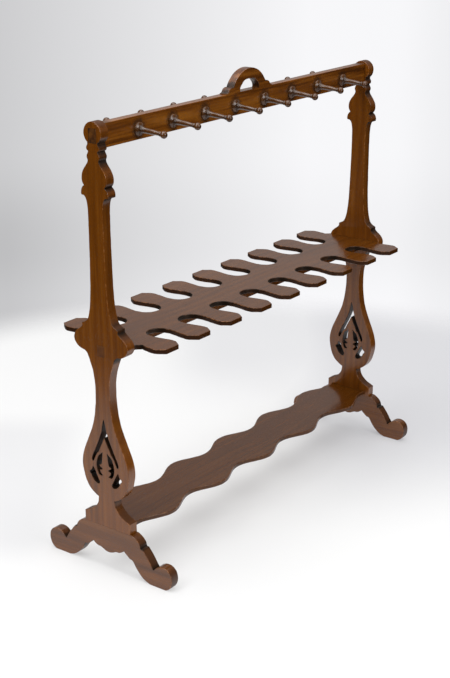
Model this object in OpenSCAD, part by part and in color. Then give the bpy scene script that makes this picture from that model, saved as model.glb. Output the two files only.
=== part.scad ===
// Free-standing boot and whip rack in polished wood. Millimetres, +Z up.
// X runs along the rack, -Y is the front, the feet stand on z = 0.

/* [Size] */
// Overall length over the two end boards
overall_length = 972; // [900:6:1080]
// Thickness of the end boards and feet
board_t = 22; // [19:1:26]

/* [Top rail and pegs] */
// Thickness of the top rail, front to back
rail_t = 19; // [16:1:24]
// Height of the top rail
rail_h = 46; // [40:1:48]
// Length of a peg from the rail face to the ball centre
peg_reach = 62; // [50:1:75]
// Slope of the through bores that carry the pegs, front end low
peg_slope = 4; // [0:0.5:7]
// Spacing of the peg pairs
peg_pitch = 104; // [90:1:110]

/* [Boot shelf] */
// Thickness of the comb shelf
shelf_t = 10; // [8:0.5:12]
// Reach of each finger from the rack's middle line
finger_reach = 135; // [128:1:145]
// Depth of the stretcher under the comb shelf
stretcher_h = 23; // [18:1:28]

/* [Lower shelf] */
// Thickness of the serpentine shelf
lower_t = 9; // [8:0.5:10]
// Mean half width of the serpentine shelf
lower_half = 60.5; // [56:0.5:66]
// Height of each wave of its edge, to either side of the mean
lower_wave = 13.5; // [6:0.5:15]

/* [Hidden] */
$fn = 64;
inner = overall_length / 2 - board_t;
pitch = overall_length / 9;
shelf_top = 512;
lower_top = 112;
joint_z = 100;
rail_z = 911;
rail_top = rail_z + rail_h / 2;
peg_z = 909;
tenon_h = 27;
tenon_rise = 2;
tenon_z = rail_z + tenon_rise - tenon_h / 2;
stretcher_t = 19;
stretcher_z = shelf_top - shelf_t - stretcher_h;
housing = 5;
tongue_half = 44;
foot_dowel_r = 4;
foot_dowel_y = [-38, 38];
foot_dowel_half = 20;
handle_dowel_r = 3;
handle_dowel_x = [-45, 45];
handle_dowel_half = 14;
pegs_per_side = 8;
peg_tenon_r = 6;
peg_tenon_lap = 3;
peg_clearance = 30;
collar_r = 13.4;
ball_r = 7.2;
screw_x = [-378, -162, 54, 270];
screw_r = 2;
screw_head_r = 4.5;
screw_rim = 1;
screw_cone = 2.5;
screw_depth = 7;
screw_sink = 3;
screw_slot = 1;
finger_root = 0.53;
finger_neck = 0.6;
finger_half = 0.245;
bay_corner = 0.78;
slack = 1;
wave_pitches = 1.65;

// ---- curves -------------------------------------------------------------

// One point of the smooth curve between b and c, with neighbours a and d
function cr(a, b, c, d, t) = 0.5 * (2 * b + (c - a) * t
    + (2 * a - 5 * b + 4 * c - d) * t * t + (3 * b - a - 3 * c + d) * t * t * t);

// A smooth curve through the knots k, n steps each, without its last knot
function flow(k, n = 3) = [for (i = [0 : len(k) - 2], j = [0 : n - 1])
    cr(k[max(i - 1, 0)], k[i], k[i + 1], k[min(i + 2, len(k) - 1)], j / n)];

function arc(c, r, a0, a1, n) = [for (i = [0 : n])
    c + r * [cos(a0 + (a1 - a0) * i / n), sin(a0 + (a1 - a0) * i / n)]];

function flip(p) = [for (i = [len(p) - 1 : -1 : 0]) [-p[i][0], p[i][1]]];

// A symmetric outline from its right half, bottom to top
module both_sides(half) { polygon(concat(half, flip(half))); }

// Stand a (y, z) outline up and give it the thickness t along X from x0
module along_x(x0, t) { translate([x0, 0, 0]) rotate([90, 0, 90]) linear_extrude(t) children(); }

// Stand an (x, z) outline up and give it the thickness t along Y, centred
module along_y(t) { translate([0, t / 2, 0]) rotate([90, 0, 0]) linear_extrude(t) children(); }

module right_of() { mirror([1, 0, 0]) children(); }

// ---- end boards ---------------------------------------------------------

function upright_half() = concat(
    [[61.5, joint_z]],
    flow([[61.5, 123], [56, 126], [43, 132], [31, 141.5], [24, 152], [21.5, 165.5]]),
    flow([[21.5, 165.5], [31, 170], [44, 180], [53.5, 194], [60, 214], [62.5, 232],
        [60.5, 250], [55, 268], [46.5, 287], [37.5, 307], [30.5, 324], [25, 343],
        [21.5, 363], [19.3, 386], [18.8, 409], [20, 427], [23.5, 446], [28, 459],
        [33, 472], [36.5, 480]]),
    [[36.5, 480]],
    flow([[42, 484.5], [53, 487], [62.5, 492.5], [68.5, 500.5], [69.8, 509], [66.5, 518],
        [59.5, 525], [52, 530.5], [46.5, 536]]),
    [[46.5, 536]],
    flow([[46.5, 542], [39, 545.5], [32, 551.5], [27.5, 563], [24, 580], [21.3, 609],
        [19.8, 652], [18.9, 700], [18.6, 745], [18.9, 770], [20.2, 785], [23, 794],
        [27, 798.5]]),
    [[27, 798.5]],
    flow([[33.5, 799.5], [34.3, 804], [33, 810], [30, 815], [26, 818]]),
    flow([[26, 818], [30, 824], [31.2, 832], [29.5, 841], [24.5, 850], [18.5, 857.5],
        [14.6, 863.5], [14, 868]]),
    flow([[14, 868], [15.9, 872], [15.6, 876.5], [13, 881], [11.8, 884]]),
    flow([[11.8, 884], [14.6, 885.5], [16.2, 889], [15.6, 893], [13.3, 896.5]]),
    [[13.3, 896.5]],
    arc([0, 917.5], 21.6, -52, 90, 14));

// The split leaf pierced through the swelling of each board
module leaf_fret() {
    both_sides(flip(concat(
        flow([[0, 344], [3.2, 331], [6.2, 317], [9, 309], [15, 294.5], [20.5, 283],
            [27, 269.5], [33.5, 256], [35.4, 249.5]], 2),
        flow([[35.4, 249.5], [34.6, 245], [31.8, 245.2]], 2),
        flow([[31.8, 245.2], [28.7, 251.5], [21.7, 264.7], [16.5, 270]], 2),
        flow([[16.5, 270], [14.2, 276], [11.4, 281.5]], 2),
        flow([[11.4, 281.5], [8.2, 287.5], [4.6, 295], [0, 304]], 2))));
    for (s = [1, -1]) scale([s, 1]) {
        polygon(concat(
            flow([[6.6, 269.5], [12, 264.5], [17.2, 260], [20.9, 251.5], [23.2, 240],
                [22.4, 228.5], [20, 222.5], [17.2, 218], [13, 217], [8.6, 218.4]], 2),
            flow([[8.6, 218.4], [12.4, 221.4], [14.6, 225.6], [14.9, 229.6]], 2),
            flow([[14.9, 229.6], [11.6, 230.2], [8.2, 232.4]], 2),
            flow([[8.2, 232.4], [12, 235], [15.4, 237.3], [16.6, 239.8]], 2),
            flow([[16.6, 239.8], [13.8, 241.2], [10.6, 243.4]], 2),
            flow([[10.6, 243.4], [9.2, 248.5], [8.2, 256.5], [6.6, 269.5]], 2)));
        polygon(concat(
            flow([[34, 231.6], [36, 226], [38.3, 221.6]], 2),
            flow([[38.3, 221.6], [42, 219.4], [42.3, 215.6], [38.8, 212.4]], 2),
            flow([[38.8, 212.4], [36.6, 206.5], [32, 200.8], [25, 196.6], [19.5, 196.4],
                [17.2, 200], [18.5, 204.4]], 2),
            flow([[18.5, 204.4], [21.8, 210.5], [25, 216.8], [29, 225], [34, 231.6]], 2)));
    }
}

module upright_body() {
    difference() {
        along_x(-inner - board_t, board_t) difference() {
            both_sides(upright_half());
            leaf_fret();
            translate([-rail_t / 2, tenon_z]) square([rail_t, tenon_h]);
            translate([-stretcher_t / 2, stretcher_z]) square([stretcher_t, stretcher_h]);
        }
        translate([-inner - housing, -tongue_half, lower_top - lower_t])
            cube([housing + slack, 2 * tongue_half, lower_t]);
        dowel_pair();
    }
}

function foot_half() = concat(
    flow([[0, 40], [6, 40.7], [12, 42.8], [18, 45.8], [22.5, 47.2]]),
    [[22.5, 47.2]],
    flow([[28.5, 47.4], [36, 50.8], [42.5, 55.5]]),
    flow([[42.5, 55.5], [49, 49.8], [57.5, 42.8]]),
    [[57.5, 42.8]],
    flow([[65.5, 40.5], [74, 28], [84.5, 15.5], [98, 5], [112, 0]]),
    [[112, 0]],
    flow([[153, 0], [161, 4.7], [166.8, 12.5], [169.6, 23], [169.2, 33.5], [165.4, 42.5],
        [158, 49], [148.5, 51.6], [138.5, 50.2], [129.5, 45], [121.3, 37.6]]),
    flow([[121.3, 37.6], [116, 45.5], [109.3, 56], [101.2, 66.7], [94, 75.3]]),
    [[94, 75.3]],
    flow([[89, 76], [86.8, 83.5], [81.5, 90.5], [74.5, 95.8], [66, joint_z]]));

module foot_body() {
    difference() {
        along_x(-inner - board_t, board_t)
            polygon(concat(foot_half(), [[66, joint_z], [-66, joint_z]], flip(foot_half())));
        dowel_pair();
    }
}

// The two dowels that pin an end board to its foot, and their holes
module dowel_pair() {
    for (y = foot_dowel_y) translate([-inner - board_t / 2, y, joint_z - foot_dowel_half])
        cylinder(r = foot_dowel_r, h = 2 * foot_dowel_half);
}

module left_upright() { color("sienna") upright_body(); }
module right_upright() { color("sienna") right_of() upright_body(); }
module left_foot() { color("saddlebrown") foot_body(); }
module right_foot() { color("saddlebrown") right_of() foot_body(); }
module left_foot_dowels() { color("burlywood") dowel_pair(); }
module right_foot_dowels() { color("burlywood") right_of() dowel_pair(); }

// ---- top rail, handle and pegs ------------------------------------------

function peg_x(i) = (i - (pegs_per_side + 1) / 2) * peg_pitch;

module top_rail() {
    color("chocolate") difference() {
        union() {
            translate([-inner, -rail_t / 2, rail_z - rail_h / 2])
                cube([2 * inner, rail_t, rail_h]);
            translate([-inner - board_t, -rail_t / 2, tenon_z])
                cube([2 * (inner + board_t), rail_t, tenon_h]);
        }
        for (i = [1 : pegs_per_side]) translate([peg_x(i), 0, peg_z]) rotate([90 + peg_slope, 0, 0])
            cylinder(r = peg_tenon_r, h = 2 * rail_t, center = true);
        dowels_under_handle();
    }
}

// Right half of the hole under the handle, from below its foot line to the crown
function handle_hole_half() = concat(
    [[34.2, -slack]],
    flow([[34.2, 0], [34, 4], [32.6, 8.4], [30.2, 11.8]]),
    flow([[30.2, 11.8], [26.6, 15], [22.4, 18.8], [17.6, 21.6]]),
    flow([[17.6, 21.6], [10, 22.9], [0, 23.2]]),
    [[0, 23.2]]);

module handle_arch() {
    color("peru") difference() {
        translate([0, 0, rail_top]) along_y(rail_t) difference() {
            polygon(concat(
                [[81, 0]],
                flow([[81, 1.2], [78, 2], [75.5, 3.2]]),
                flow([[75.5, 3.2], [72.5, 7.5], [68.5, 10.6], [63, 12]]),
                [[63, 12]],
                arc([0, -22], 67, 30.5, 149.5, 36),
                [[-63, 12]],
                flow([[-63, 12], [-68.5, 10.6], [-72.5, 7.5], [-75.5, 3.2]]),
                flow([[-75.5, 3.2], [-78, 2], [-81, 1.2]]),
                [[-81, 1.2], [-81, 0]]));
            polygon(concat(handle_hole_half(), flip(handle_hole_half())));
        }
        dowels_under_handle();
    }
}

// The two dowels between the rail and the handle, and their holes
module dowels_under_handle() {
    for (x = handle_dowel_x) translate([x, 0, rail_top - handle_dowel_half])
        cylinder(r = handle_dowel_r, h = 2 * handle_dowel_half);
}

module handle_dowels() { color("burlywood") dowels_under_handle(); }

// A turned peg standing on the rail's middle plane, pointing up its own Z
module turned_peg() {
    face = rail_t / 2;
    ball = face + peg_reach;
    rotate_extrude() polygon(concat(
        [[0, face - 4], [collar_r, face - 4]],
        flow([[collar_r, face + 1.5], [collar_r, face + 2.8], [11.4, face + 4.4],
            [9, face + 6.4], [7.4, face + 8.6], [6.3, face + 12], [5.5, face + 17],
            [5.1, face + 23], [5, face + 30], [4.8, face + 37], [4.3, face + 44],
            [3.8, ball - 10.4], [3.9, ball - 6.1]]),
        arc([0, ball], ball_r, -57, 90, 16)));
}

// side 1 is the front peg, side -1 the back peg
module peg(i, side) {
    color("maroon") translate([peg_x(i), 0, peg_z]) {
        difference() {
            rotate([side * 90 + peg_slope, 0, 0]) turned_peg();
            translate([-peg_clearance, -rail_t / 2, -peg_clearance])
                cube([2 * peg_clearance, rail_t, 2 * peg_clearance]);
        }
        rotate([side * 90 + peg_slope, 0, 0])
            cylinder(r = peg_tenon_r, h = rail_t / 2 + peg_tenon_lap);
    }
}

// ---- boot shelf ---------------------------------------------------------

// Half width of a finger against the distance from the middle line, in finger pitches
finger_side = [[finger_half, finger_root], [0.236, finger_neck], [0.25, 0.71], [0.275, 0.84], [0.296, 0.98],
    [0.289, 1.085], [0.236, 1.172], [0.172, 1.25]];

function finger_x(k) = abs(k) == 4 ? sign(k) * 3.95 * pitch : k * pitch;

// One side of finger k from root to tip, s = -1 for its left side
function side_points(k, s) = [for (p = concat(flow(finger_side, 3), [finger_side[7]]))
    [finger_x(k) + s * p[0] * pitch,
        p[1] > finger_neck ? finger_neck * pitch + (p[1] - finger_neck)
            / (finger_side[7][1] - finger_neck) * (finger_reach - finger_neck * pitch)
            : p[1] * pitch]];

function back_to_front(p) = [for (i = [len(p) - 1 : -1 : 0]) p[i]];

// The rounded root of the slot to the right of finger k
function slot_root(k) =
    let (a = finger_x(k) + finger_half * pitch, b = finger_x(k + 1) - finger_half * pitch,
        c = (a + b) / 2, r = (b - a) / 2)
    [for (i = [1 : 11])
        [c - r * cos(i * 15), finger_root * pitch - 0.92 * r * sin(i * 15)]];

// The short edge from the left end board to the first finger
function end_bay() = flow([[-inner, 0.64 * pitch], [-inner + 4, 0.66 * pitch],
    [finger_x(-4) - 0.238 * pitch, 0.75 * pitch]], 2);

function beyond_bay(points) = [for (p = points) if (p[1] > bay_corner * pitch) p];

function comb_edge() = concat(
    end_bay(),
    beyond_bay(side_points(-4, -1)),
    back_to_front(side_points(-4, 1)),
    [for (k = [-3 : 4]) each concat(slot_root(k - 1), side_points(k, -1),
        k == 4 ? beyond_bay(back_to_front(side_points(4, 1)))
            : back_to_front(side_points(k, 1)))],
    flip(end_bay()));

module boot_shelf() {
    color("tan") difference() {
        translate([0, 0, shelf_top - shelf_t]) linear_extrude(shelf_t)
            polygon(concat(comb_edge(), [for (p = back_to_front(comb_edge())) [p[0], -p[1]]]));
        for (x = screw_x) translate([x, 0, shelf_top - shelf_t - slack])
            cylinder(r = screw_r, h = screw_depth + slack);
    }
}

// Countersunk screw standing on its head, with its shank h long above the head
module screw_shape(h) {
    cylinder(r = screw_head_r, h = screw_rim);
    translate([0, 0, screw_rim]) cylinder(r1 = screw_head_r, r2 = screw_r, h = screw_cone);
    translate([0, 0, screw_rim + screw_cone]) cylinder(r = screw_r, h = h);
}

module shelf_stretcher() {
    color("darkgoldenrod") difference() {
        translate([-inner - board_t, -stretcher_t / 2, stretcher_z])
            cube([2 * (inner + board_t), stretcher_t, stretcher_h]);
        for (x = screw_x) translate([x, 0, stretcher_z + screw_sink]) {
            translate([0, 0, -screw_sink - slack])
                cylinder(r = screw_head_r, h = screw_sink + slack + screw_rim);
            screw_shape(stretcher_h);
        }
    }
}

// Slotted screws up through the stretcher into the shelf
module shelf_screws() {
    color("gray") for (x = screw_x) translate([x, 0, stretcher_z + screw_sink]) difference() {
        screw_shape(stretcher_h + screw_depth - screw_sink - screw_rim - screw_cone);
        translate([-screw_head_r - slack, -screw_slot / 2, -slack])
            cube([2 * (screw_head_r + slack), screw_slot, 2 * slack]);
    }
}

// ---- lower shelf --------------------------------------------------------

function wave_y(x) = lower_half + lower_wave * cos(360 * x / (wave_pitches * pitch));
function wave_edge() = [for (i = [0 : 96]) let (x = -inner + 2 * inner * i / 96)
    [x, wave_y(x)]];

module lower_shelf() {
    color("wheat") translate([0, 0, lower_top - lower_t]) {
        linear_extrude(lower_t)
            polygon(concat(wave_edge(), [for (p = back_to_front(wave_edge())) [p[0], -p[1]]]));
        translate([-inner - housing, -tongue_half, 0])
            cube([2 * (inner + housing), 2 * tongue_half, lower_t]);
    }
}

// ---- assembly -----------------------------------------------------------

left_upright();
right_upright();
left_foot();
right_foot();
left_foot_dowels();
right_foot_dowels();
top_rail();
handle_arch();
handle_dowels();
boot_shelf();
shelf_stretcher();
shelf_screws();
lower_shelf();
for (i = [1 : pegs_per_side]) {
    peg(i, 1);
    peg(i, -1);
}
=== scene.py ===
"""Looks for a free-standing boot and whip rack in French-polished wood.

Every outline is in millimetres in the plane of its board, like the solids it stands for, and each
board is built as a closed mesh with softened arrises that carry their own values of wear and of dirt and
painted shade.
"""
import math

import bpy
import numpy as np
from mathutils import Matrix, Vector, geometry, noise


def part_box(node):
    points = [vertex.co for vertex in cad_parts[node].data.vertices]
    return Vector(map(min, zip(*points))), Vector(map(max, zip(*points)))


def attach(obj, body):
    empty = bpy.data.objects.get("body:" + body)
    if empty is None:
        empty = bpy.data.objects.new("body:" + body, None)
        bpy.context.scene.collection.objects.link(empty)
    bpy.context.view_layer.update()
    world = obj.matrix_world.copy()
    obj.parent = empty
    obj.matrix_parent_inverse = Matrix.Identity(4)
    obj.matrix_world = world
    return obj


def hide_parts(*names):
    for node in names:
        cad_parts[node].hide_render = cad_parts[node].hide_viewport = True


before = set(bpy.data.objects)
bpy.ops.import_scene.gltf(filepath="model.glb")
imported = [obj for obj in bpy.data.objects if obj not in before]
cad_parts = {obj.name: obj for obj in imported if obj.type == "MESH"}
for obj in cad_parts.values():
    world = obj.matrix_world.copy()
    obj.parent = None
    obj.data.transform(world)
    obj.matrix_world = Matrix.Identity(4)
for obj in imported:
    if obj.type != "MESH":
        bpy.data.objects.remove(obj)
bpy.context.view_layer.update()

MM = 0.001
STEP = 1.8                      # mm between the points of a curved outline
LONG_STEP = 7.0                 # mm between the points of a straight edge
SHARP_COS = math.cos(math.radians(32))
FILLET = 4                      # steps across one rounded arris
ROOM = 0.45                     # share of a corner's sides that its arris may take up
CRISP = 0.3                     # mm, arris radius where two pieces meet
EASE = 0.22                     # mm that the arris radius may change from point to point
NOTCH = 0.8                     # mm by which an outline closes in where the dirt and painted shade are thickest
NOTCH_SPREAD = 0.86             # share of a notch's dirt and painted shade that reaches the next point
HOLE_SHADE = 0.9                # painted shade on the walls of a pierced hole
WEAR_LIMIT = 1.6                # mm of arris radius beyond which wear grows no more
GRAIN = {"x": (0, 1, 2), "y": (1, 2, 0), "z": (2, 0, 1)}


def mm_box(node):
    """A CAD node's lowest and highest corners, in millimetres."""
    low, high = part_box(node)
    return np.array(low) / MM, np.array(high) / MM


# ---- outlines ---------------------------------------------------------------

def flow(knots, step=STEP):
    """A smooth curve through the knots, without its last knot."""
    k = [np.array(p, float) for p in knots]
    points = []
    for i in range(len(k) - 1):
        a, b, c, d = k[max(i - 1, 0)], k[i], k[i + 1], k[min(i + 2, len(k) - 1)]
        count = max(2, math.ceil(np.linalg.norm(c - b) / step))
        for t in np.arange(count) / count:
            points.append(0.5 * (2 * b + (c - a) * t + (2 * a - 5 * b + 4 * c - d) * t**2
                                 + (3 * b - a - 3 * c + d) * t**3))
    return points


def arc(centre, radius, start, end, step=STEP):
    """Points on a circle from angle start to angle end, in degrees, both included."""
    count = max(4, math.ceil(radius * math.radians(abs(end - start)) / step))
    angles = np.radians(np.linspace(start, end, count + 1))
    return [np.array(centre) + radius * np.array([math.cos(a), math.sin(a)]) for a in angles]


def line(*corners):
    """Straight runs from corner to corner, with even points and without the last corner."""
    points = []
    for a, b in zip(corners, corners[1:]):
        a, b = np.array(a, float), np.array(b, float)
        count = max(1, round(np.linalg.norm(b - a) / LONG_STEP))
        points += [a + (b - a) * t for t in np.arange(count) / count]
    return points


def flip(points):
    """The mirror image across the middle line, in the opposite order."""
    return [np.array([-p[0], p[1]]) for p in reversed(points)]


def clean(points, anticlockwise=True):
    """A loop without doubled points, running the way its material needs."""
    loop = [points[0]]
    for p in points[1:]:
        if np.linalg.norm(p - loop[-1]) > 0.05:
            loop.append(p)
    if np.linalg.norm(loop[0] - loop[-1]) <= 0.05:
        loop.pop()
    loop = np.array(loop)
    after = np.roll(loop, -1, 0)
    area = (loop[:, 0] * after[:, 1] - after[:, 0] * loop[:, 1]).sum()
    return loop if (area > 0) == anticlockwise else loop[::-1].copy()


def rectangle(u0, v0, u1, v1):
    return line((u0, v0), (u1, v0), (u1, v1), (u0, v1), (u0, v0))


# ---- meshes -----------------------------------------------------------------

def loop_shape(loop):
    """For each point of a loop: its mitred outward direction, the outward normals of its two edges,
    how far the outline closes in on it, from 0 on a straight edge to 1 in a tight notch, and the
    widest arris that has room there."""
    edge = np.roll(loop, -1, 0) - loop
    length = np.linalg.norm(edge, axis=1)
    edge /= length[:, None]
    last = np.roll(edge, 1, 0)
    turn = np.arctan2(last[:, 0] * edge[:, 1] - last[:, 1] * edge[:, 0], (last * edge).sum(1))
    room = ROOM * np.minimum(length, np.roll(length, 1)) / np.maximum(np.tan(turn / 2), 0.01)
    after = np.stack([edge[:, 1], -edge[:, 0]], 1)
    before = np.roll(after, 1, 0)
    mitre = before + after
    mitre /= np.maximum(np.linalg.norm(mitre, axis=1)[:, None], 1e-6)
    mitre /= np.maximum((mitre * after).sum(1), 0.6)[:, None]
    smooth = (before * after).sum(1) > SHARP_COS
    normal = (before + after) / np.maximum(np.linalg.norm(before + after, axis=1)[:, None], 1e-6)
    before = np.where(smooth[:, None], normal, before)
    after = np.where(smooth[:, None], normal, after)
    around = sum(np.roll(loop, k, 0) for k in (-3, -2, 2, 3)) / 4 - loop
    notch = np.clip((around * normal).sum(1) / NOTCH, 0, 1)
    for _ in range(4):
        notch = np.maximum(notch, NOTCH_SPREAD * np.maximum(np.roll(notch, 1), np.roll(notch, -1)))
    return mitre, before, after, notch, room


def fillet_rows():
    """Rows from the near face to the far one: (share of the arris radius inset, share of the radius
    in from the face of that side, side, outward and axial parts of the normal)."""
    rows = []
    for side in (-1, 1):
        for k in range(FILLET + 1):
            turn = k / FILLET * math.pi / 2
            phi = turn - math.pi / 2 if side < 0 else turn
            rows.append((1 - math.cos(phi), 1 - abs(math.sin(phi)), side, math.cos(phi), math.sin(phi)))
    return rows


def wavering(u, v, seed):
    """Slow unevenness along an arris, about 1 on average."""
    return 1 + 0.55 * noise.noise(Vector((u / 14, v / 14, seed))) \
        + 0.3 * noise.noise(Vector((u / 3.5, v / 3.5, seed + 40)))


def fill(loops, rings):
    """Triangles of the flat face inside the outer loop and outside the others."""
    points, outlines, index = [], [], []
    for loop, ring in zip(loops, rings):
        outlines.append(list(range(len(points), len(points) + len(loop))))
        points += [Vector((float(p[0]), float(p[1]))) for p in loop]
        index += list(ring)
    out, _, faces, origin, _, _ = geometry.delaunay_2d_cdt(points, [], outlines, 2, 1e-5)
    triangles = []
    for face in faces:
        a, b, c = (out[i] for i in face)
        turn = (b - a).cross(c - a)
        corners = [index[origin[i][0]] for i in face]
        triangles.append(corners if turn > 0 else corners[::-1])
    return triangles


def board(name, loops, thickness, axes, origin, arris=1.0, crisp=None, seed=0.0):
    """A flat board with rounded arrises. loops are the outer outline and the holes, axes are the
    directions of the outline's two coordinates and of the thickness, crisp says where the arris
    stays sharp, as a function of the outline's coordinates, and holes may be (loop, radius)."""
    axes = np.array(axes, float)
    rows = fillet_rows()
    verts, faces, normals, wear, grime_and_shade = [], [], [], [], []
    near, far, flats = [], [], []
    for number, entry in enumerate(loops):
        points, radius = entry if isinstance(entry, tuple) else (entry, arris)
        loop = clean(points, anticlockwise=number == 0)
        mitre, before, after, notch, room = loop_shape(loop)
        r = np.array([radius * wavering(u, v, seed) for u, v in loop])
        if crisp:
            r = np.where([crisp(u, v) for u, v in loop], CRISP, r)
        r = np.minimum(r, room)
        for _ in range(5):
            r = np.minimum(r, np.minimum(np.roll(r, 1), np.roll(r, -1)) + EASE)
        count, base = len(loop), len(verts)
        for inset, height, side, _, axial in rows:
            ring = loop - mitre * (r * inset)[:, None]
            w = r * height if side < 0 else thickness - r * height
            for i in range(count):
                verts.append(np.array(origin) + ring[i] @ axes[:2] + w[i] * axes[2])
                wear.append(abs(math.sin(2 * math.asin(max(-1, min(1, axial))))) * min(WEAR_LIMIT, r[i]))
                # notches get dirt and painted shade, the walls of holes painted shade
                dirt_and_shade = min(1, notch[i] + (HOLE_SHADE if number else 0))
                grime_and_shade.append(0.0 if abs(axial) > 0.99 else dirt_and_shade)
        near.append(range(base, base + count))
        far.append(range(base + count * (len(rows) - 1), len(verts)))
        flats.append(loop - mitre * r[:, None])
        for j in range(len(rows) - 1):
            for i in range(count):
                i2 = (i + 1) % count
                a = base + j * count
                faces.append([a + i, a + i2, a + count + i2, a + count + i])
                for corner, row in ((i, j), (i2, j), (i2, j + 1), (i, j + 1)):
                    flat = after[corner] if corner == i else before[corner]
                    out, axial = rows[row][3], rows[row][4]
                    normals.append(flat @ axes[:2] * out + axes[2] * axial)
    for triangle in fill(flats, near):
        faces.append(triangle[::-1])
        normals += [-axes[2]] * 3
    for triangle in fill(flats, far):
        faces.append(triangle)
        normals += [axes[2]] * 3
    return make_piece(name, np.array(verts) * MM, faces, normals, {"wear": wear, "grime_and_shade": grime_and_shade})


def make_piece(name, verts, faces, normals, values):
    mesh = bpy.data.meshes.new(name)
    mesh.from_pydata([tuple(v) for v in verts], [], faces)
    for key, numbers in values.items():
        mesh.attributes.new(key, "FLOAT", "POINT").data.foreach_set("value", np.array(numbers, np.float32))
    mesh.polygons.foreach_set("use_smooth", [True] * len(mesh.polygons))
    if normals is None:
        mesh.set_sharp_from_angle(angle=math.radians(42))
    else:
        mesh.normals_split_custom_set([tuple(n) for n in normals])
    mesh.update()
    piece = bpy.data.objects.new(name, mesh)
    bpy.context.scene.collection.objects.link(piece)
    return piece


# ---- end boards -------------------------------------------------------------

JOINT = 100.0                  # mm above the floor, where end board and foot meet
TENON = 899.5, 926.5           # mm above the floor, bottom and top of the rail's tenons
MORTISE_ARRIS = 0.35           # mm


def upright_outline():
    half = (
        line((61.5, JOINT), (61.5, 123))
        + flow([(61.5, 123), (56, 126), (43, 132), (31, 141.5), (24, 152), (21.5, 165.5)])
        + flow([(21.5, 165.5), (31, 170), (44, 180), (53.5, 194), (60, 214), (62.5, 232), (60.5, 250),
                (55, 268), (46.5, 287), (37.5, 307), (30.5, 324), (25, 343), (21.5, 363), (19.3, 386),
                (18.8, 409), (20, 427), (23.5, 446), (28, 459), (33, 472), (36.5, 480)])
        + line((36.5, 480), (42, 484.5))
        + flow([(42, 484.5), (53, 487), (62.5, 492.5), (68.5, 500.5), (69.8, 509), (66.5, 518),
                (59.5, 525), (52, 530.5), (46.5, 536)])
        + line((46.5, 536), (46.5, 542))
        + flow([(46.5, 542), (39, 545.5), (32, 551.5), (27.5, 563), (24, 580), (21.3, 609), (19.8, 652),
                (18.9, 700), (18.6, 745), (18.9, 770), (20.2, 785), (23, 794), (27, 798.5)])
        + line((27, 798.5), (33.5, 799.5))
        + flow([(33.5, 799.5), (34.3, 804), (33, 810), (30, 815), (26, 818)])
        + flow([(26, 818), (30, 824), (31.2, 832), (29.5, 841), (24.5, 850), (18.5, 857.5),
                (14.6, 863.5), (14, 868)])
        + flow([(14, 868), (15.9, 872), (15.6, 876.5), (13, 881), (11.8, 884)])
        + flow([(11.8, 884), (14.6, 885.5), (16.2, 889), (15.6, 893), (13.3, 896.5)])
        + [np.array([13.3, 896.5])]
        + arc((0, 917.5), 21.6, -52, 90)
    )
    return half + flip(half) + line((-61.5, JOINT), (61.5, JOINT))


def leaf_fret():
    """The split leaf pierced through the swelling of each end board."""
    crown = (flow([(0, 344), (3.2, 331), (6.2, 317), (9, 309), (15, 294.5), (20.5, 283), (27, 269.5),
                   (33.5, 256), (35.4, 249.5)])
             + flow([(35.4, 249.5), (34.6, 245), (31.8, 245.2)])
             + flow([(31.8, 245.2), (28.7, 251.5), (21.7, 264.7), (16.5, 270)])
             + flow([(16.5, 270), (14.2, 276), (11.4, 281.5)])
             + flow([(11.4, 281.5), (8.2, 287.5), (4.6, 295), (0, 304)]) + [np.array([0.0, 304.0])])
    inner = (flow([(6.6, 269.5), (12, 264.5), (17.2, 260), (20.9, 251.5), (23.2, 240), (22.4, 228.5),
                   (20, 222.5), (17.2, 218), (13, 217), (8.6, 218.4)])
             + flow([(8.6, 218.4), (12.4, 221.4), (14.6, 225.6), (14.9, 229.6)])
             + flow([(14.9, 229.6), (11.6, 230.2), (8.2, 232.4)])
             + flow([(8.2, 232.4), (12, 235), (15.4, 237.3), (16.6, 239.8)])
             + flow([(16.6, 239.8), (13.8, 241.2), (10.6, 243.4)])
             + flow([(10.6, 243.4), (9.2, 248.5), (8.2, 256.5), (6.6, 269.5)]))
    outer = (flow([(34, 231.6), (36, 226), (38.3, 221.6)])
             + flow([(38.3, 221.6), (42, 219.4), (42.3, 215.6), (38.8, 212.4)])
             + flow([(38.8, 212.4), (36.6, 206.5), (32, 200.8), (25, 196.6), (19.5, 196.4), (17.2, 200),
                     (18.5, 204.4)])
             + flow([(18.5, 204.4), (21.8, 210.5), (25, 216.8), (29, 225), (34, 231.6)]))
    return [crown + flip(crown), inner, flip(inner), outer, flip(outer)]


def foot_outline():
    half = (
        flow([(0, 40), (6, 40.7), (12, 42.8), (18, 45.8), (22.5, 47.2)])
        + flow([(22.5, 47.2), (28.5, 47.4), (36, 50.8), (42.5, 55.5)])
        + flow([(42.5, 55.5), (49, 49.8), (57.5, 42.8)])
        + flow([(57.5, 42.8), (65.5, 40.5), (74, 28), (84.5, 15.5), (98, 5), (112, 0)])
        + line((112, 0), (153, 0))
        + flow([(153, 0), (161, 4.7), (166.8, 12.5), (169.6, 23), (169.2, 33.5), (165.4, 42.5),
                (158, 49), (148.5, 51.6), (138.5, 50.2), (129.5, 45), (121.3, 37.6)])
        + flow([(121.3, 37.6), (116, 45.5), (109.3, 56), (101.2, 66.7), (94, 75.3)])
        + flow([(94, 75.3), (89, 76), (86.8, 83.5), (81.5, 90.5), (74.5, 95.8), (66, JOINT)])
    )
    return half + line((66, JOINT), (-66, JOINT)) + flip(half)


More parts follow.
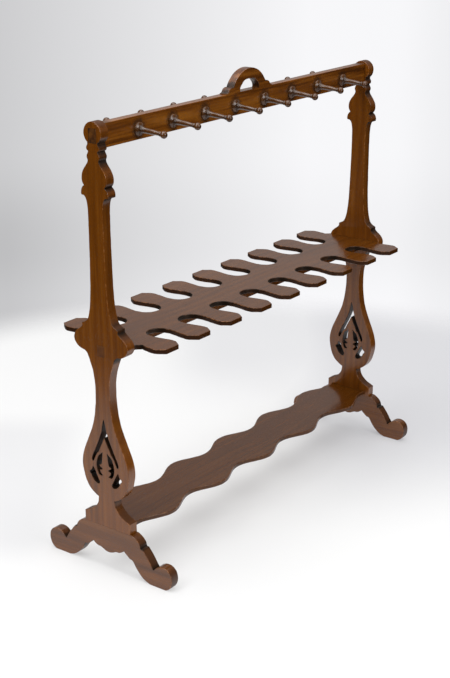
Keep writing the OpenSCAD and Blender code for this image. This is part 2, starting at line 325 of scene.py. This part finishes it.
def end_boards():
    rail_low, rail_high = mm_box("top_rail")
    bar_low, bar_high = mm_box("shelf_stretcher")
    mortises = [(rectangle(rail_low[1], TENON[0], rail_high[1], TENON[1]), MORTISE_ARRIS),
                (rectangle(bar_low[1], bar_low[2], bar_high[1], bar_high[2]), MORTISE_ARRIS)]
    pieces = []
    for number, side in enumerate(("left", "right")):
        low, high = mm_box(f"{side}_upright")
        axes = [(0, 1, 0), (0, 0, 1), (1, 0, 0)]
        upright = board(f"{side}_end_board", [upright_outline()] + leaf_fret() + mortises,
                        high[0] - low[0], axes, (low[0], 0, 0), arris=1.1,
                        crisp=lambda u, v: v < JOINT + 2, seed=3.0 + number)
        foot = board(f"{side}_scroll_foot", [foot_outline()], high[0] - low[0], axes, (low[0], 0, 0),
                     arris=1.3, crisp=lambda u, v: v > JOINT - 1, seed=7.0 + number)
        pieces += [(upright, f"{side}_upright", "end_board_polish"),
                   (foot, f"{side}_foot", "foot_polish")]
    return pieces


# ---- rail, handle and pegs --------------------------------------------------

HANDLE_HALF = 82.0             # mm, half of the length where the handle sits on the rail


def rail_and_handle():
    low, high = mm_box("top_rail")
    inner = mm_box("right_upright")[0][0]
    tenon_low, tenon_high = TENON
    outline = line((-inner, low[2]), (inner, low[2]), (inner, tenon_low), (high[0], tenon_low),
                   (high[0], tenon_high), (inner, tenon_high), (inner, high[2]), (-inner, high[2]),
                   (-inner, tenon_high), (low[0], tenon_high), (low[0], tenon_low), (-inner, tenon_low),
                   (-inner, low[2]))
    upright_plane = [(1, 0, 0), (0, 0, 1), (0, -1, 0)]
    depth = high[1] - low[1]
    rail = board("pegged_rail", [outline], depth, upright_plane, (0, high[1], 0), arris=1.0,
                 crisp=lambda u, v: abs(u) < HANDLE_HALF and v > high[2] - 1, seed=11.0)
    base = mm_box("handle_arch")[0][2]
    half = (line((34.2, 0), (81, 0), (81, 1.2))
            + flow([(81, 1.2), (78, 2), (75.5, 3.2)])
            + flow([(75.5, 3.2), (72.5, 7.5), (68.5, 10.6), (63, 12)])
            + line((63, 12), (57.7, 12.2))
            + arc((0, -22), 67, 30.5, 90))
    opening = (flow([(34.2, 0), (34, 4), (32.6, 8.4), (30.2, 11.8)])
               + flow([(30.2, 11.8), (26.6, 15), (22.4, 18.8), (17.6, 21.6)])
               + flow([(17.6, 21.6), (10, 22.9), (0, 23.2)]))
    outline = half + flip(half) + [p * [-1, 1] for p in opening] + opening[::-1]
    handle = board("carrying_handle", [outline], depth, upright_plane, (0, high[1], base), arris=1.2,
                   crisp=lambda u, v: v < 0.4, seed=13.0)
    return [(rail, "top_rail", "rail_polish"), (handle, "handle_arch", "rail_polish")]


PEG_AXIS = 909.0               # mm, height at which every peg crosses the rail's middle plane
PEG_SLOPE = math.radians(4)    # front ends hang this much below level
PEG_REACH = 62.0               # mm from the rail face to the centre of the ball
PEG_PITCH = 0.104              # m between neighbouring pegs
PEG_SIDES = 56
TENON_R, COLLAR_R, BALL_R = 6, 13.4, 7.2
COLLAR_GAP = 0.35              # mm between the collar's edge and the rail


def peg_profile(face):
    """(radius, distance along the peg) from the tenon to the crown of the ball."""
    ball = face + PEG_REACH
    collar = flow([(COLLAR_R, face + 0.6), (COLLAR_R, face + 2.4), (12.8, face + 3.6),
                   (11.4, face + 4.4)], 0.7)
    ogee = flow([(11, face + 5), (9, face + 6.4), (7.4, face + 8.6), (6.3, face + 12), (5.5, face + 17),
                 (5.1, face + 23), (5, face + 30), (4.8, face + 37), (4.3, face + 44),
                 (3.7, ball - 10.4)])
    neck = flow([(3.7, ball - 10.4), (4.5, ball - 9.8), (4.7, ball - 8.9), (4.3, ball - 8),
                 (3.9, ball - 6.1)], 0.5)
    crown = arc((0, ball), BALL_R, -57, 86, 0.8)
    return [(TENON_R, 0), (TENON_R, face - 3)], collar + ogee + neck + crown


def turned_peg(number, side):
    """side 1 is the front peg, side -1 the back peg."""
    node = f"{'front' if side > 0 else 'back'}_peg_{number}"
    low, high = mm_box(node)
    face = mm_box("top_rail")[1][1]
    axis = np.array([0, -side * math.cos(PEG_SLOPE), -side * math.sin(PEG_SLOPE)])
    right = np.array([1.0, 0, 0])
    up = np.cross(right, axis)
    foot = np.array([(low[0] + high[0]) / 2, 0, PEG_AXIS])
    tenon, turned = peg_profile(face)
    profile = [(r, h, False) for r, h in tenon]
    profile += [(r, None, True) for r in (TENON_R, COLLAR_R - 0.4, COLLAR_R)]
    profile += [(p[0], p[1], False) for p in turned]
    verts, wear, grime_and_shade = [], [], []
    radii = [p[0] for p in profile]
    for row, (radius, height, flat) in enumerate(profile):
        bulge = radii[row] - (radii[max(row - 4, 0)] + radii[min(row + 4, len(radii) - 1)]) / 2
        for k in range(PEG_SIDES):
            turn = 2 * math.pi * k / PEG_SIDES
            spoke = right * math.cos(turn) + up * math.sin(turn)
            start = foot + spoke * radius
            slide = (-side * face - start[1]) / axis[1] if flat else height
            lift = COLLAR_GAP if radius == COLLAR_R and flat else 0.0
            verts.append(start + axis * (slide + lift))
            wear.append(max(0.0, min(1.0, bulge / 2.0)) * (0.7 + 0.6 * noise.noise(Vector(verts[-1] / 6))))
            # darker in the hollows of the turning
            grime_and_shade.append(max(0.0, min(1.0, -bulge / 1.6)))
    faces = []
    for row in range(len(profile) - 1):
        a, b = row * PEG_SIDES, (row + 1) * PEG_SIDES
        for k in range(PEG_SIDES):
            after = (k + 1) % PEG_SIDES
            faces.append([a + k, a + after, b + after, b + k])
    faces.append(list(reversed(range(PEG_SIDES))))
    faces.append(list(range(len(verts) - PEG_SIDES, len(verts))))
    piece = make_piece(f"turned_{node}", np.array(verts) * MM, faces, None, {"wear": wear, "grime_and_shade": grime_and_shade})
    return piece, node, "peg_polish"


# ---- shelves ----------------------------------------------------------------

FINGER_SIDE = [(0.245, 0.53), (0.236, 0.6), (0.25, 0.71), (0.275, 0.84), (0.296, 0.98), (0.289, 1.085),
               (0.236, 1.172), (0.172, 1.25)]   # half width against distance from the middle, in pitches
END_FINGER = 3.95              # pitches from the middle to the outermost finger
SLOT_ROUND = 0.92              # depth of a slot's round end, as a share of its half width
SLOT_POINTS = 34
BAY = (0.64, 0.66, 0.75, 0.78)  # pitches from the middle: the comb's edge beside an end board
BAY_REACH = 0.238              # pitches from the outer finger's middle to the end of that edge
FLAT = [(1, 0, 0), (0, 1, 0), (0, 0, 1)]


def finger_x(k, pitch):
    return math.copysign(END_FINGER, k) * pitch if abs(k) == 4 else k * pitch


def finger_edge(k, side, pitch):
    points = flow([np.array(p) * pitch for p in FINGER_SIDE]) + [np.array(FINGER_SIDE[-1]) * pitch]
    return [np.array([finger_x(k, pitch) + side * p[0], p[1]]) for p in points]


def slot_end(k, pitch):
    """The round end of the slot between finger k and the next, from left to right."""
    a = finger_x(k, pitch) + FINGER_SIDE[0][0] * pitch
    b = finger_x(k + 1, pitch) - FINGER_SIDE[0][0] * pitch
    radius = (b - a) / 2
    turns = np.linspace(0, math.pi, SLOT_POINTS)[1:-1]
    return [np.array([(a + b) / 2 - radius * math.cos(t), FINGER_SIDE[0][1] * pitch
                      - SLOT_ROUND * radius * math.sin(t)]) for t in turns]


def comb_outline(inner, pitch):
    start, rise, end, joins = (share * pitch for share in BAY)
    left = flow([(-inner, start), (-inner + 4, rise),
                 (finger_x(-4, pitch) - BAY_REACH * pitch, end)])
    edge = left + [p for p in finger_edge(-4, -1, pitch) if p[1] > joins]
    for k in range(-4, 4):
        edge += finger_edge(k, 1, pitch)[::-1] + slot_end(k, pitch) + finger_edge(k + 1, -1, pitch)
    edge += [p for p in finger_edge(4, 1, pitch)[::-1] if p[1] > joins] + flip(left)
    back = [p * [1, -1] for p in reversed(edge)]
    side = line((inner, edge[-1][1]), (inner, -edge[-1][1]))[1:]
    return edge + side + back + [p * [-1, 1] for p in reversed(side)]


WAVE = 1.65                    # pitches from lobe to lobe of the lower shelf
LOWER_HALF, LOWER_WAVE = 60.5, 13.5   # mm, its mean half width and the height of a lobe
WAVE_POINTS = 520
TONGUE, HOUSING = 44.0, 5.0    # half width and depth of the tongue let into each foot board


def wave_outline(inner, pitch):
    xs = np.linspace(inner, -inner, WAVE_POINTS)
    turn = 2 * math.pi / (WAVE * pitch)
    front = [np.array([x, LOWER_HALF + LOWER_WAVE * math.cos(turn * x)]) for x in xs]
    ends = line((-inner, front[-1][1]), (-inner, TONGUE), (-inner - HOUSING, TONGUE),
                (-inner - HOUSING, -TONGUE), (-inner, -TONGUE), (-inner, -front[-1][1]))[1:]
    back = [p * [1, -1] for p in reversed(front)]
    return front + ends + back + [p * [-1, -1] for p in ends]


def shelves():
    inner = mm_box("right_upright")[0][0]
    pitch = mm_box("right_upright")[1][0] * 2 / 9
    low, high = mm_box("boot_shelf")
    comb = board("comb_shelf", [comb_outline(inner, pitch)], high[2] - low[2], FLAT, (0, 0, low[2]),
                 arris=1.9, seed=17.0)
    low, high = mm_box("lower_shelf")
    wave = board("wavy_shelf", [wave_outline(inner, pitch)], high[2] - low[2], FLAT, (0, 0, low[2]),
                 arris=1.6, seed=19.0)
    return [(comb, "boot_shelf", "comb_polish"), (wave, "lower_shelf", "wave_polish")]


# ---- materials --------------------------------------------------------------

class Graph:
    """A material's node tree, with a short way to add and join nodes."""

    def __init__(self, name):
        self.material = bpy.data.materials.new(name)
        self.material.use_nodes = True
        self.tree = self.material.node_tree
        self.tree.nodes.clear()

    def add(self, kind, inputs=None, **settings):
        node = self.tree.nodes.new(kind)
        for key, value in settings.items():
            setattr(node, key, value)
        for key, value in (inputs or {}).items():
            if isinstance(value, bpy.types.NodeSocket):
                self.tree.links.new(value, node.inputs[key])
            else:
                node.inputs[key].default_value = value
        return node

    def math(self, operation, a, b=0.0, c=None):
        inputs = {0: a, 1: b} if c is None else {0: a, 1: b, 2: c}
        return self.add("ShaderNodeMath", inputs, operation=operation).outputs[0]

    def scale(self, vector, factors):
        return self.add("ShaderNodeVectorMath", {0: vector, 1: factors}, operation="MULTIPLY").outputs[0]

    def noise(self, vector, factors, detail=2.0, rough=0.5):
        return self.add("ShaderNodeTexNoise", {
            "Vector": self.scale(vector, factors), "Scale": 1.0, "Detail": detail, "Roughness": rough,
            "Distortion": 0.0}).outputs["Fac"]

    def span(self, value, low, high, out_low=0.0, out_high=1.0):
        return self.add("ShaderNodeMapRange", {
            "Value": value, "From Min": low, "From Max": high, "To Min": out_low, "To Max": out_high},
            interpolation_type="SMOOTHSTEP").outputs[0]

    def mix(self, factor, a, b):
        node = self.add("ShaderNodeMix", {0: factor}, data_type="RGBA", blend_type="MIX")
        for index, colour in ((6, a), (7, b)):
            if isinstance(colour, bpy.types.NodeSocket):
                self.tree.links.new(colour, node.inputs[index])
            else:
                node.inputs[index].default_value = (*colour, 1)
        return node.outputs[2]

    def length(self, a, b):
        return self.math("SQRT", self.math("ADD", self.math("MULTIPLY", a, a), self.math("MULTIPLY", b, b)))

    def finish(self, shader):
        self.add("ShaderNodeOutputMaterial", {"Surface": shader})
        return self.material


HEART = (0.06, 0.11)           # m from the middle of a board to the heart of its tree
RING = 0.017                   # m between growth bands
MEAN_TONE, TONE_SPREAD = 0.825, 0.36
# colour of dirt and of painted shade
DIRT_AND_SHADE = (0.010, 0.0065, 0.004)


def polished_wood(name, grain, offset, dark, mid, light, streaks=1.0, gloss=0.2, ends=0.85,
                  hollows=0.35, index=1.6, walls=0.0, flat_axis=0, pegged=False):
    """Old French-polished timber: growth bands, streaks, fibre and pores run along the grain, end
    grain is darker, the sawn edges of the boards, whose faces lie square to flat_axis, are darker from
    their finish and from painted shade, worn arrises are paler and duller, notches and the surrounds of
    pegs are darker from old wax and dirt and from painted shade, and the walls of holes from painted shade."""
    g = Graph(name)
    place = g.add("ShaderNodeVectorMath", {0: g.add("ShaderNodeTexCoord").outputs["Object"], 1: offset},
                  operation="ADD").outputs[0]
    xyz = g.add("ShaderNodeSeparateXYZ", {0: place}).outputs
    order = GRAIN[grain]
    along, side_a, side_b = (xyz[i] for i in order)
    drift_a = g.noise(place, tuple(3.0 if i == order[0] else 9.0 for i in range(3)), 2.0)
    drift_b = g.noise(place, tuple(2.0 if i == order[0] else 14.0 for i in range(3)), 3.0)
    side_a = g.math("ADD", side_a, g.math("MULTIPLY", g.math("SUBTRACT", drift_a, 0.5), 0.022))
    side_b = g.math("ADD", side_b, g.math("MULTIPLY", g.math("SUBTRACT", drift_b, 0.5), 0.016))
    fibre = g.add("ShaderNodeCombineXYZ", {0: along, 1: side_a, 2: side_b}).outputs[0]

    ring_a = g.math("ADD", g.math("SUBTRACT", side_a, HEART[0]), g.math("MULTIPLY", along, 0.035))
    ring_b = g.math("ADD", side_b, HEART[1])
    spacing = g.math("MULTIPLY", g.length(ring_a, ring_b), 2 * math.pi / RING)
    swirl = g.math("SINE", g.math("ADD", spacing, g.math("MULTIPLY", drift_a, 9.0)))
    bands = g.math("MULTIPLY_ADD", swirl, 0.5, 0.5)
    streak = g.noise(fibre, (2.2, 75, 75), 5.0, 0.62)
    broad = g.noise(fibre, (1.1, 19, 19), 3.0, 0.55)
    thread = g.noise(fibre, (4.5, 230, 230), 4.0, 0.6)
    fine = g.noise(fibre, (22, 900, 900), 2.0, 0.6)
    pore = g.span(g.noise(fibre, (95, 2300, 2300), 1.0), 0.60, 0.70)
    mottle = g.noise(place, (11, 11, 11), 3.0, 0.6)

    tone = g.math("MULTIPLY_ADD", bands, 0.10, g.math("MULTIPLY", streak, 0.50))
    tone = g.math("ADD", tone, g.math("MULTIPLY", broad, 0.50))
    tone = g.math("ADD", tone, g.math("MULTIPLY", thread, 0.40))
    tone = g.math("ADD", tone, g.math("MULTIPLY", fine, 0.15))
    tone = g.span(tone, MEAN_TONE - TONE_SPREAD / streaks, MEAN_TONE + TONE_SPREAD / streaks)
    ramp = g.add("ShaderNodeValToRGB", {0: tone})
    ramp.color_ramp.elements[0].color = (*dark, 1)
    ramp.color_ramp.elements[1].color = (*light, 1)
    ramp.color_ramp.elements.new(0.5).color = (*mid, 1)
    colour = g.mix(g.span(mottle, 0.35, 0.7, 0.0, 0.28), ramp.outputs[0], [c * 0.62 for c in mid])
    colour = g.mix(g.math("MULTIPLY", pore, 0.55), colour, [c * 0.35 for c in dark])

    normal = g.add("ShaderNodeNewGeometry").outputs["Normal"]
    turned_to = g.add("ShaderNodeSeparateXYZ", {0: normal}).outputs
    facing = turned_to[order[0]]
    end = g.math("MULTIPLY", g.span(g.math("ABSOLUTE", facing), 0.35, 0.9), ends)
    rings_end = g.noise(fibre, (60, 420, 420), 3.0, 0.7)
    end_colour = g.mix(rings_end, [c * 0.34 for c in dark], [c * 0.62 for c in mid])
    colour = g.mix(end, colour, end_colour)
    # darker sawn edges: partly their own finish, partly painted shade
    if walls:
        wall = g.span(g.math("ABSOLUTE", turned_to[flat_axis]), 0.75, 0.35, 0.0, walls)
        colour = g.mix(wall, colour, [c * 0.4 for c in dark])

    wear = g.add("ShaderNodeAttribute", attribute_name="wear").outputs["Fac"]
    chips = g.noise(place, (170, 170, 170), 3.0, 0.7)
    worn = g.math("MULTIPLY", g.math("MULTIPLY", wear, 0.65), g.span(chips, 0.42, 0.66))
    colour = g.mix(worn, colour, [min(1, c * 1.25 + 0.03) for c in light])
    # darkening by dirt and painted shade in notches, on the walls of holes and round the pegs
    grime_and_shade = g.add("ShaderNodeAttribute", attribute_name="grime_and_shade").outputs["Fac"]
    if pegged:
        grime_and_shade = g.math("MAXIMUM", grime_and_shade, around_pegs(g))
    dirt_and_shade = g.math("MULTIPLY", grime_and_shade, g.span(g.noise(place, (60, 60, 60), 2.0), 0.2, 0.6, 0.6, 0.97))
    colour = g.mix(dirt_and_shade, colour, DIRT_AND_SHADE)

    smear = g.noise(fibre, (7, 30, 30), 4.0, 0.65)
    rough = g.span(smear, 0.3, 0.75, gloss * 0.85, gloss * 1.25)
    rough = g.math("ADD", rough, g.math("MULTIPLY", pore, 0.12))
    rough = g.math("ADD", rough, g.math("MULTIPLY", worn, 0.18))
    rough = g.math("ADD", rough, g.math("MULTIPLY", g.math("MAXIMUM", end, grime_and_shade), 0.22))

    hollow = g.noise(fibre, (5, 24, 24), 2.0)
    bump = g.add("ShaderNodeBump", {"Strength": hollows, "Distance": 0.0011, "Height": hollow})
    relief = g.math("SUBTRACT", g.math("MULTIPLY", fine, 0.35), pore)
    bump = g.add("ShaderNodeBump", {"Strength": 0.3, "Distance": 0.00009, "Height": relief,
                                    "Normal": bump.outputs[0]})
    shader = g.add("ShaderNodeBsdfPrincipled", {
        "Base Color": colour, "Roughness": rough, "Normal": bump.outputs[0], "IOR": index,
        "Specular IOR Level": g.math("MULTIPLY_ADD", g.math("ADD", end, dirt_and_shade), -0.25, 0.5)})
    return g.finish(shader.outputs[0])


def around_pegs(g):
    """Dirt and painted shade, from 0 on the open rail to 0.7 beside the collar of a peg."""
    spot = g.add("ShaderNodeTexCoord").outputs["Object"]
    at = g.add("ShaderNodeSeparateXYZ", {0: spot}).outputs
    beside = g.math("SUBTRACT", PEG_PITCH / 2, g.math("PINGPONG", at[0], PEG_PITCH / 2))
    above = g.math("SUBTRACT", at[2], PEG_AXIS * MM)
    ragged = g.math("MULTIPLY_ADD", g.noise(spot, (90, 90, 90), 3.0), 0.012, g.length(beside, above))
    halo = g.span(ragged, 0.031, 0.019, 0.0, 0.7)
    return g.math("MULTIPLY", halo, g.math("LESS_THAN", g.math("ABSOLUTE", at[0]), 4 * PEG_PITCH))


def raw_wood(name):
    """Unpolished birch of the hidden dowels."""
    g = Graph(name)
    place = g.add("ShaderNodeTexCoord").outputs["Object"]
    fibre = g.noise(place, (700, 700, 25), 4.0, 0.65)
    colour = g.mix(fibre, (0.36, 0.22, 0.11), (0.62, 0.46, 0.29))
    bump = g.add("ShaderNodeBump", {"Strength": 0.4, "Distance": 0.0001, "Height": fibre})
    shader = g.add("ShaderNodeBsdfPrincipled", {"Base Color": colour, "Roughness": 0.7,
                                                "Normal": bump.outputs[0]})
    return g.finish(shader.outputs[0])


def old_steel(name):
    """Dull steel screws with a little brown tarnish."""
    g = Graph(name)
    place = g.add("ShaderNodeTexCoord").outputs["Object"]
    stain = g.noise(place, (420, 420, 420), 4.0, 0.65)
    colour = g.mix(g.span(stain, 0.45, 0.7), (0.42, 0.41, 0.39), (0.13, 0.075, 0.04))
    rough = g.span(stain, 0.3, 0.7, 0.28, 0.6)
    bump = g.add("ShaderNodeBump", {"Strength": 0.3, "Distance": 0.00008, "Height": stain})
    shader = g.add("ShaderNodeBsdfPrincipled", {"Base Color": colour, "Roughness": rough, "Metallic": 1.0,
                                                "Normal": bump.outputs[0]})
    return g.finish(shader.outputs[0])


def make_materials():
    dark, mid, light = (0.077, 0.0205, 0.0016), (0.192, 0.0550, 0.0035), (0.310, 0.105, 0.0100)
    # the feet and the shelves are darker copies of the boards' wood: painted shade
    foot = [[c * 0.84 for c in tone] for tone in (dark, mid, light)]
    rail = [[c * 0.94 for c in tone] for tone in (dark, mid, light)]
    shelf = [[c * 0.52 for c in tone] for tone in (dark, mid, light)]
    return {
        "end_board_polish": polished_wood("end_board_polish", "z", (0.31, 1.7, 0.4), dark, mid, light,
                                          streaks=0.85, index=1.55, walls=0.22),
        "foot_polish": polished_wood("foot_polish", "y", (2.3, 0.2, 1.1), *foot, streaks=0.9, walls=0.4),
        "rail_polish": polished_wood("rail_polish", "x", (4.1, 2.2, 0.3), *rail, streaks=2.0,
                                     ends=0.0, index=1.7, pegged=True),
        "stretcher_polish": polished_wood("stretcher_polish", "x", (3.3, 0.7, 5.2), *rail, ends=0.5),
        "comb_polish": polished_wood("comb_polish", "x", (1.9, 3.4, 2.6), *shelf, streaks=0.7, gloss=0.16,
                                     index=1.43, walls=0.5, flat_axis=2),
        "wave_polish": polished_wood("wave_polish", "x", (7.7, 1.3, 0.9), *shelf, streaks=0.55, gloss=0.18,
                                     index=1.43, walls=0.3, flat_axis=2),
        "peg_polish": polished_wood("peg_polish", "y", (5.1, 6.2, 3.3), (0.036, 0.011, 0.002),
                                    (0.092, 0.031, 0.005), (0.16, 0.062, 0.012), gloss=0.17, ends=0.3,
                                    hollows=0.04),
        "raw_dowel": raw_wood("raw_dowel"),
        "tarnished_steel": old_steel("tarnished_steel"),
    }


KEPT = {"left_foot_dowels": "raw_dowel", "right_foot_dowels": "raw_dowel", "handle_dowels": "raw_dowel",
        "shelf_screws": "tarnished_steel", "shelf_stretcher": "stretcher_polish"}


def dress(pieces, materials):
    for piece, node, finish in pieces:
        piece.data.materials.append(materials[finish])
        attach(piece, "root")
        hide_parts(node)
    for node, finish in KEPT.items():
        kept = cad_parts[node]
        kept.data.materials.clear()
        kept.data.materials.append(materials[finish])
    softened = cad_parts["shelf_stretcher"].modifiers.new("soft_arrises", "BEVEL")
    softened.width = 0.0007
    softened.segments = 2
    softened.limit_method = "ANGLE"
    softened.angle_limit = math.radians(40)


# ---- stage ------------------------------------------------------------------

HEADING = math.radians(-53.34)  # camera turn about the vertical
PITCH = math.radians(24.0)      # camera tilt below level


def make_camera():
    camera = bpy.data.objects.new("camera", bpy.data.cameras.new("camera"))
    camera.location = (-2.3220, -1.6724, 1.3997)
    camera.rotation_euler = (math.pi / 2 - PITCH, 0, HEADING)
    camera.data.lens = 70.73
    camera.data.sensor_width = 36
    camera.data.shift_y = 0.149
    camera.data.clip_end = 60
    bpy.context.scene.collection.objects.link(camera)
    bpy.context.scene.camera = camera


def make_floor():
    """A round sheet of softly backlit white paper with painted shade to the right, far off and at the
    near left, whose rim fades out."""
    radius = 1.7
    count = 96
    mesh = bpy.data.meshes.new("floor")
    rim = [(radius * math.cos(2 * math.pi * k / count), radius * math.sin(2 * math.pi * k / count), 0)
           for k in range(count)]
    mesh.from_pydata(rim, [], [list(range(count))])
    floor = bpy.data.objects.new("floor", mesh)
    bpy.context.scene.collection.objects.link(floor)
    g = Graph("floor_paper")
    place = g.add("ShaderNodeTexCoord").outputs["Object"]
    reach = g.add("ShaderNodeVectorMath", {0: place}, operation="LENGTH").outputs["Value"]
    across = g.add("ShaderNodeVectorMath", {0: place, 1: (math.cos(HEADING), math.sin(HEADING), 0)},
                   operation="DOT_PRODUCT").outputs["Value"]
    away = g.add("ShaderNodeVectorMath", {0: place, 1: (-math.sin(HEADING), math.cos(HEADING), 0)},
                 operation="DOT_PRODUCT").outputs["Value"]
    fade = g.math("MAXIMUM", g.span(reach, 1.2, 1.55), g.span(across, 0.75, 1.1))
    # painted shade on the paper: to the right, far off and at the near left
    right = g.math("MULTIPLY", g.span(across, 0.0, 0.35), g.span(away, -0.3, 0.4))
    far = g.math("MULTIPLY", g.span(across, -0.3, -0.05), g.span(away, 0.35, 0.95, 0.0, 0.65))
    near_left = g.math("MULTIPLY", g.span(across, -0.35, -0.5, 0.0, 0.45),
                       g.math("MULTIPLY", g.span(away, 0.5, 0.3), g.span(away, -0.42, -0.25)))
    shade = g.math("MAXIMUM", g.math("MAXIMUM", right, far), near_left)
    paper = g.add("ShaderNodeBsdfDiffuse", {"Color": g.mix(shade, (0.4, 0.4, 0.4), (0.31, 0.31, 0.32))})
    glow = g.add("ShaderNodeEmission", {"Color": g.mix(shade, (0.48, 0.48, 0.48), (0.372, 0.372, 0.384))})
    lit = g.add("ShaderNodeAddShader", {0: paper.outputs[0], 1: glow.outputs[0]})
    clear = g.add("ShaderNodeBsdfTransparent")
    shader = g.add("ShaderNodeMixShader", {0: fade, 1: lit.outputs[0], 2: clear.outputs[0]})
    mesh.materials.append(g.finish(shader.outputs[0]))


def make_world():
    """Seen directly, a pale studio backdrop, greyer to the upper left. For reflections and fill, a
    bright sweep behind the rack, a soft ceiling and a dim camera side."""
    world = bpy.data.worlds.new("studio")
    bpy.context.scene.world = world
    world.use_nodes = True
    tree = world.node_tree
    tree.nodes.clear()
    g = Graph.__new__(Graph)
    g.tree = tree
    ray = g.add("ShaderNodeTexCoord").outputs["Generated"]
    turned = g.add("ShaderNodeVectorRotate", {"Vector": ray, "Angle": -HEADING},
                   rotation_type="Z_AXIS").outputs[0]
    part = g.add("ShaderNodeSeparateXYZ", {0: turned}).outputs
    sweep = g.add("ShaderNodeMapRange", {"Value": part[0], "From Min": -0.16, "From Max": 0.06,
                                         "To Min": 0.61, "To Max": 0.935}).outputs[0]
    low_left = g.math("MULTIPLY", g.span(part[0], -0.05, -0.17), g.span(part[2], -0.20, -0.27))
    sweep = g.math("MULTIPLY_ADD", low_left, -0.05, sweep)
    sweep = g.math("SUBTRACT", sweep, g.span(part[0], 0.12, 0.165, 0.0, 0.065))
    sweep = g.math("SUBTRACT", sweep, g.span(part[2], -0.20, -0.26, 0.0, 0.045))
    sweep = g.math("ADD", sweep, g.span(part[2], -0.27, -0.31, 0.0, 0.05))
    cooler = g.math("MULTIPLY", sweep, 1.02)
    backdrop = g.add("ShaderNodeCombineColor", {0: sweep, 1: sweep, 2: cooler}).outputs[0]
    behind = g.span(part[1], 0.45, 0.86)
    above = g.span(part[2], -0.02, 0.16)
    fill = g.math("MULTIPLY", g.math("MULTIPLY_ADD", behind, 0.37, 0.11),
                  g.math("MULTIPLY_ADD", above, 0.88, 0.12))
    fill = g.math("ADD", fill, g.span(part[2], 0.70, 0.92, 0.0, 2.3))
    surround = g.add("ShaderNodeCombineColor", {0: fill, 1: fill, 2: fill}).outputs[0]
    seen = g.add("ShaderNodeBackground", {"Color": backdrop, "Strength": 1.0})
    felt = g.add("ShaderNodeBackground", {"Color": surround, "Strength": 1.0})
    camera_ray = g.add("ShaderNodeLightPath").outputs["Is Camera Ray"]
    both = g.add("ShaderNodeMixShader", {0: camera_ray, 1: felt.outputs[0], 2: seen.outputs[0]})
    g.add("ShaderNodeOutputWorld", {"Surface": both.outputs[0]})


def softbox(name, place, target, size, power):
    light = bpy.data.lights.new(name, "AREA")
    light.shape = "DISK"
    light.size = size
    light.energy = power
    lamp = bpy.data.objects.new(name, light)
    lamp.location = place
    lamp.rotation_euler = (Vector(target) - Vector(place)).to_track_quat("-Z", "Y").to_euler()
    bpy.context.scene.collection.objects.link(lamp)


def make_lights():
    softbox("ceiling_softbox", (-0.75, 0.55, 2.6), (0, 0, 0.1), 0.8, 8)
    softbox("left_softbox", (-2.4, 0.3, 2.2), (0, 0, 0.5), 1.3, 24.5)
    softbox("front_softbox", (-0.4, -2.7, 1.9), (0, 0, 0.3), 1.5, 37)


pieces = end_boards() + rail_and_handle() + shelves()
pieces += [turned_peg(number, side) for number in range(1, 9) for side in (1, -1)]
dress(pieces, make_materials())
make_camera()
make_floor()
make_world()
make_lights()
bpy.context.scene.view_settings.view_transform = "Standard"
